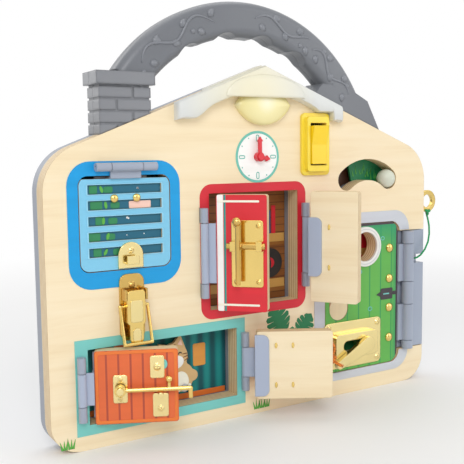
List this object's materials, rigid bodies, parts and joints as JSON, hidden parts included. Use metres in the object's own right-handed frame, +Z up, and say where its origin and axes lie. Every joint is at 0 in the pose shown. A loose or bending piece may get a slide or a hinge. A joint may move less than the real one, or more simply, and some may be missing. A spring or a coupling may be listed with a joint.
{
  "type": "wooden busy board",
  "caption": "House-shaped wooden busy board with a carrying handle, hinged doors with latches, a shutter, a clock, a switch and a ball in a curved slot.",
  "frame": {"origin": "middle of the board's foot, on the plane of the wooden panel's painted face", "axes": "+X to the viewer's right, +Z up, painted face along -Y"},
  "size_m": [0.37, 0.073, 0.322],
  "materials": {
    "wood_panel": "matt",
    "grey_plastic": "satin",
    "white_plastic": "satin",
    "lamp_plastic": "gloss",
    "circuit_board": "satin",
    "steel": "polished",
    "yellow_plastic": "gloss",
    "printed_card": "matt",
    "leaf_metal": "satin",
    "red_wood": "satin",
    "orange_wood": "satin",
    "blue_wood": "satin",
    "green_wood": "satin",
    "plain_wood": "matt",
    "brass": "polished",
    "red_plastic": "gloss",
    "orange_cord": "matt",
    "green_cord": "matt"
  },
  "bodies": {
    "board": {"front_panel": "wood_panel", "back_shell": "grey_plastic", "handle_front_shell": "grey_plastic", "handle_rear_shell": "grey_plastic", "shell_screws": "steel", "roof_canopy": "white_plastic", "lamp_lens": "lamp_plastic", "lamp_board": "circuit_board", "battery_cells": "steel", "battery_cover": "grey_plastic", "battery_cover_screw": "steel", "switch_plate": "yellow_plastic", "room_backdrops": "printed_card", "door_stops": "grey_plastic", "small_hinge_posts": "grey_plastic", "small_hinge_pins": "steel", "cat_pivot_pin": "steel", "latch_base": "brass", "front_door_column": "grey_plastic", "front_door_pin": "steel", "chain_keeper": "grey_plastic", "clock_hands_pin": "brass"},
    "closet_left": {"closet_left_door": "red_wood", "closet_left_leaf": "leaf_metal", "closet_bolt_case": "brass"},
    "bolt": {"closet_bolt": "brass"},
    "closet_right": {"closet_right_door": "red_wood", "closet_right_leaf": "leaf_metal", "closet_bolt_staple": "brass"},
    "kennel_left": {"kennel_left_door": "orange_wood", "kennel_left_leaf": "leaf_metal", "kennel_hook_plates": "brass"},
    "hook": {"kennel_hook": "brass"},
    "kennel_right": {"kennel_right_door": "orange_wood", "kennel_right_leaf": "leaf_metal", "kennel_hook_eye": "brass"},
    "cat": {"cat_figure": "plain_wood"},
    "window_shutter": {"shutter": "blue_wood", "shutter_leaf": "grey_plastic", "shutter_screws": "brass", "latch_catch": "brass"},
    "lever": {"latch_lever": "brass"},
    "bail": {"latch_bail": "brass"},
    "entrance_door": {"front_door": "green_wood", "front_door_leaf": "grey_plastic", "porthole_ring": "white_plastic", "front_door_screws": "brass", "chain_plate": "brass"},
    "chain": {"chain_tab": "brass", "chain_cord": "orange_cord"},
    "cover": {"keyhole_cover": "plain_wood"},
    "lock": {"lock_cylinder": "brass"},
    "hour_hand": {"clock_hour_hand": "red_plastic"},
    "minute_hand": {"clock_minute_hand": "red_plastic"},
    "greeting_ball": {"greeting_ball_plate": "plain_wood"},
    "rocker": {"switch_rocker": "yellow_plastic"},
    "key": {"door_key": "brass", "key_cord": "green_cord"}
  },
  "joints": [
    {"name": "closet_left_hinge", "type": "hinge", "parent": "board", "child": "closet_left", "pos_m": [-0.054, -0.0034, 0.133], "axis": [0, 0, -1], "range_deg": [-44, 60]},
    {"name": "closet_bolt_slide", "type": "slide", "parent": "closet_left", "child": "bolt", "axis": [0.7193, -0.6947, 0], "range_m": [0, 0.01]},
    {"name": "closet_right_hinge", "type": "hinge", "parent": "board", "child": "closet_right", "pos_m": [0.04, -0.0034, 0.133], "axis": [0, 0, 1], "range_deg": [-124, 0]},
    {"name": "kennel_left_hinge", "type": "hinge", "parent": "board", "child": "kennel_left", "pos_m": [-0.153, -0.0034, 0.045], "axis": [0, 0, -1], "range_deg": [-25, 90]},
    {"name": "kennel_hook_pivot", "type": "hinge", "parent": "kennel_left", "child": "hook", "pos_m": [-0.13011, -0.01584, 0.044], "axis": [-0.4226, -0.9063, 0], "range_deg": [0, 75]},
    {"name": "kennel_right_hinge", "type": "hinge", "parent": "board", "child": "kennel_right", "pos_m": [-0.019, -0.0034, 0.045], "axis": [0, 0, 1], "range_deg": [-150, 0]},
    {"name": "cat_pivot", "type": "hinge", "parent": "board", "child": "cat", "pos_m": [-0.066, 0.0135, 0.028], "axis": [0, 1, 0], "range_deg": [-20, 32]},
    {"name": "shutter_hinge", "type": "hinge", "parent": "board", "child": "window_shutter", "pos_m": [-0.1155, -0.0034, 0.199], "axis": [-1, 0, 0], "range_deg": [0, 95]},
    {"name": "latch_lever_pivot", "type": "hinge", "parent": "board", "child": "lever", "pos_m": [-0.113, -0.006, 0.109], "axis": [-1, 0, 0], "range_deg": [0, 150]},
    {"name": "latch_bail_pivot", "type": "hinge", "parent": "lever", "child": "bail", "pos_m": [-0.113, -0.004, 0.1005], "axis": [1, 0, 0], "range_deg": [-150, 0]},
    {"name": "front_door_hinge", "type": "hinge", "parent": "board", "child": "entrance_door", "pos_m": [0.154, -0.0022, 0.084], "axis": [0, 0, 1], "range_deg": [0, 100]},
    {"name": "chain_slide", "type": "slide", "parent": "entrance_door", "child": "chain", "axis": [1, 0, 0], "range_m": [-0.006, 0]},
    {"name": "keyhole_cover_slide", "type": "slide", "parent": "entrance_door", "child": "cover", "axis": [0, 0, 1], "range_m": [0, 0.026]},
    {"name": "lock_turn", "type": "hinge", "parent": "entrance_door", "child": "lock", "pos_m": [0.077, 0.008, 0.094], "axis": [0, -1, 0], "range_deg": [0, 90]},
    {"name": "hour_hand_turn", "type": "hinge", "parent": "board", "child": "hour_hand", "pos_m": [-0.004, -0.0013, 0.2045], "axis": [0, 1, 0], "continuous": true},
    {"name": "minute_hand_turn", "type": "hinge", "parent": "board", "child": "minute_hand", "pos_m": [-0.004, -0.0035, 0.2045], "axis": [0, 1, 0], "continuous": true},
    {"name": "greeting_ball_swing", "type": "hinge", "parent": "board", "child": "greeting_ball", "pos_m": [0.1085, 0.0147, 0.1553], "axis": [0, -1, 0], "range_deg": [0, 78]},
    {"name": "switch_tilt", "type": "hinge", "parent": "board", "child": "rocker", "pos_m": [0.051, -0.0026, 0.214], "axis": [1, 0, 0], "range_deg": [-10, 0]},
    {"name": "key_slide", "type": "slide", "parent": "board", "child": "key", "axis": [1, 0, 0], "range_m": [0, 0.036]}
  ]
}
